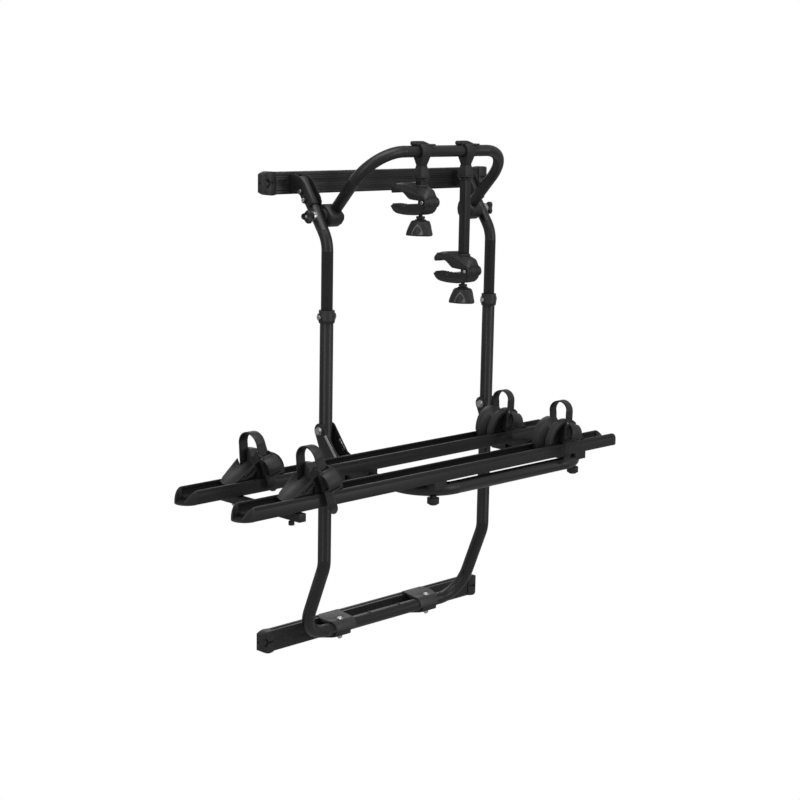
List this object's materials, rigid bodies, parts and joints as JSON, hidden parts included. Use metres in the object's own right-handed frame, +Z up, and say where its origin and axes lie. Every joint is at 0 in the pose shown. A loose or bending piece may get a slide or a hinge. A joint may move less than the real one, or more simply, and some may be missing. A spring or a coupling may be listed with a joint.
{
  "type": "van bike carrier",
  "caption": "Rear-door bicycle carrier: telescopic tube frame between two mounting rails, folding platform with wheel rails and strap holders, and a folding arch with hinged clamp arms",
  "frame": {"origin": "middle of the lower mounting rail's back face, where it lies on the van", "axes": "+X across the van, +Y into the van, +Z up"},
  "size_m": [1.292, 0.5471, 1.2987],
  "materials": {
    "tube": "satin black powder coat on steel tube and sheet",
    "extrusion": "black anodised aluminium extrusion",
    "clamp_plate": "cast alloy, coated dark grey, matte",
    "zinc": "bright zinc-plated steel",
    "strap": "flexible black nylon strap",
    "moulding": "black glass-filled nylon, fine grain"
  },
  "bodies": {
    "frame": {"bottom_rail": "extrusion", "bottom_rail_caps": "moulding", "lower_frame": "tube", "height_collars": "moulding", "collar_bolts": "zinc", "rail_clamp_plates": "clamp_plate", "rail_clamp_jaws": "moulding", "rail_clamp_bolts": "zinc", "pivot_bolts": "zinc"},
    "upper_frame": {"top_rail": "extrusion", "top_rail_caps": "moulding", "upper_tube_left": "tube", "upper_tube_right": "tube", "hook_left": "tube", "hook_right": "tube", "hook_bolts": "zinc", "arch_bolts": "zinc"},
    "arch": {"arch_tube": "tube", "arch_knuckle_left": "moulding", "arch_knuckle_right": "moulding"},
    "arch_knob_left": {"arch_knob_left": "moulding"},
    "arch_knob_right": {"arch_knob_right": "moulding"},
    "platform": {"platform_tube": "tube", "platform_arm_left": "tube", "platform_arm_right": "tube", "lock_strips": "zinc", "saddles": "moulding", "saddle_bolts": "zinc"},
    "platform_knob_left": {"platform_knob_left": "moulding"},
    "platform_knob_right": {"platform_knob_right": "moulding"},
    "wheel_rails": {"front_rail": "extrusion", "back_rail": "extrusion", "rail_noses": "moulding", "cross_brace": "tube", "brace_bolts": "zinc"},
    "brace_knob": {"brace_knob": "moulding"},
    "holder_front_left": {"holder_front_left": "moulding", "strap_front_left": "strap"},
    "lever_front_left": {"buckle_lever_front_left": "moulding"},
    "holder_front_right": {"holder_front_right": "moulding", "strap_front_right": "strap"},
    "lever_front_right": {"buckle_lever_front_right": "moulding"},
    "holder_back_left": {"holder_back_left": "moulding", "strap_back_left": "strap"},
    "lever_back_left": {"buckle_lever_back_left": "moulding"},
    "holder_back_right": {"holder_back_right": "moulding", "strap_back_right": "strap"},
    "lever_back_right": {"buckle_lever_back_right": "moulding"},
    "short_arm": {"short_arm_clamp": "moulding", "short_arm_tube": "tube"},
    "short_clamp_lever": {"short_clamp_lever": "moulding"},
    "short_grip": {"short_upper_jaw": "moulding"},
    "short_jaw": {"short_lower_jaw": "moulding"},
    "short_knob": {"short_grip_knob": "moulding"},
    "long_arm": {"long_arm_clamp": "moulding", "long_arm_tube": "tube"},
    "long_clamp_lever": {"long_clamp_lever": "moulding"},
    "long_grip": {"long_upper_jaw": "moulding"},
    "long_jaw": {"long_lower_jaw": "moulding"},
    "long_knob": {"long_grip_knob": "moulding"}
  },
  "joints": [
    {"name": "height", "type": "slide", "parent": "frame", "child": "upper_frame", "axis": [0, 0, 1], "range_m": [-0.06, 0.09]},
    {"name": "arch_fold", "type": "hinge", "parent": "upper_frame", "child": "arch", "pos_m": [0, -0.10491, 1.07786], "axis": [-1, 0, 0], "range_deg": [-45, 45]},
    {"name": "arch_knob_left_turn", "type": "hinge", "parent": "upper_frame", "child": "arch_knob_left", "pos_m": [-0.3218, -0.10491, 1.07786], "axis": [1, 0, 0], "continuous": true},
    {"name": "arch_knob_right_turn", "type": "hinge", "parent": "upper_frame", "child": "arch_knob_right", "pos_m": [0.3218, -0.10491, 1.07786], "axis": [1, 0, 0], "continuous": true},
    {"name": "platform_fold", "type": "hinge", "parent": "frame", "child": "platform", "pos_m": [0, -0.144, 0.557], "axis": [-1, 0, 0], "range_deg": [0, 60]},
    {"name": "platform_knob_left_turn", "type": "hinge", "parent": "platform", "child": "platform_knob_left", "pos_m": [-0.25657, -0.4802, 0.4374], "axis": [0, 0, 1], "continuous": true},
    {"name": "platform_knob_right_turn", "type": "hinge", "parent": "platform", "child": "platform_knob_right", "pos_m": [0.25657, -0.4802, 0.4374], "axis": [0, 0, 1], "continuous": true},
    {"name": "rail_shift", "type": "slide", "parent": "platform", "child": "wheel_rails", "axis": [1, 0, 0], "range_m": [-0.04, 0.2]},
    {"name": "brace_knob_turn", "type": "hinge", "parent": "wheel_rails", "child": "brace_knob", "pos_m": [-0.697, -0.4802, 0.4564], "axis": [0, 0, 1], "continuous": true},
    {"name": "holder_front_left_slide", "type": "slide", "parent": "wheel_rails", "child": "holder_front_left", "axis": [1, 0, 0], "range_m": [-0.07, 0.24]},
    {"name": "lever_front_left_lift", "type": "hinge", "parent": "holder_front_left", "child": "lever_front_left", "pos_m": [-0.64185, -0.52173, 0.56825], "axis": [-0.9744, 0, -0.225], "range_deg": [0, 70]},
    {"name": "holder_front_right_slide", "type": "slide", "parent": "wheel_rails", "child": "holder_front_right", "axis": [1, 0, 0], "range_m": [-0.24, 0.1]},
    {"name": "lever_front_right_lift", "type": "hinge", "parent": "holder_front_right", "child": "lever_front_right", "pos_m": [0.19785, -0.52173, 0.56825], "axis": [-0.9744, 0, 0.225], "range_deg": [0, 70]},
    {"name": "holder_back_left_slide", "type": "slide", "parent": "wheel_rails", "child": "holder_back_left", "axis": [1, 0, 0], "range_m": [-0.07, 0.24]},
    {"name": "lever_back_left_lift", "type": "hinge", "parent": "holder_back_left", "child": "lever_back_left", "pos_m": [-0.64185, -0.32753, 0.56825], "axis": [-0.9744, 0, -0.225], "range_deg": [0, 70]},
    {"name": "holder_back_right_slide", "type": "slide", "parent": "wheel_rails", "child": "holder_back_right", "axis": [1, 0, 0], "range_m": [-0.24, 0.1]},
    {"name": "lever_back_right_lift", "type": "hinge", "parent": "holder_back_right", "child": "lever_back_right", "pos_m": [0.19785, -0.32753, 0.56825], "axis": [-0.9744, 0, 0.225], "range_deg": [0, 70]},
    {"name": "short_arm_swing", "type": "hinge", "parent": "arch", "child": "short_arm", "pos_m": [-0.0842, -0.25194, 1.23609], "axis": [-1, 0, 0], "range_deg": [-10, 100]},
    {"name": "short_lever_turn", "type": "hinge", "parent": "short_arm", "child": "short_clamp_lever", "pos_m": [-0.1062, -0.25194, 1.25909], "axis": [0, 0, 1], "range_deg": [0, 90]},
    {"name": "short_grip_turn", "type": "hinge", "parent": "short_arm", "child": "short_grip", "pos_m": [-0.0842, -0.25194, 1.11409], "axis": [0, 0, 1], "range_deg": [-90, 90]},
    {"name": "short_jaw_close", "type": "hinge", "parent": "short_grip", "child": "short_jaw", "pos_m": [-0.0842, -0.27894, 1.11409], "axis": [1, 0, 0], "range_deg": [0, 14]},
    {"name": "short_knob_turn", "type": "hinge", "parent": "short_grip", "child": "short_knob", "pos_m": [-0.0842, -0.25194, 1.06409], "axis": [0, 0, 1], "continuous": true},
    {"name": "long_arm_swing", "type": "hinge", "parent": "arch", "child": "long_arm", "pos_m": [0.0736, -0.25194, 1.23609], "axis": [-1, 0, 0], "range_deg": [-10, 100]},
    {"name": "long_lever_turn", "type": "hinge", "parent": "long_arm", "child": "long_clamp_lever", "pos_m": [0.0516, -0.25194, 1.25909], "axis": [0, 0, 1], "range_deg": [0, 90]},
    {"name": "long_grip_turn", "type": "hinge", "parent": "long_arm", "child": "long_grip", "pos_m": [0.0736, -0.25194, 0.93749], "axis": [0, 0, 1], "range_deg": [-90, 90]},
    {"name": "long_jaw_close", "type": "hinge", "parent": "long_grip", "child": "long_jaw", "pos_m": [0.0736, -0.27894, 0.93749], "axis": [1, 0, 0], "range_deg": [0, 14]},
    {"name": "long_knob_turn", "type": "hinge", "parent": "long_grip", "child": "long_knob", "pos_m": [0.0736, -0.25194, 0.88749], "axis": [0, 0, 1], "continuous": true}
  ]
}
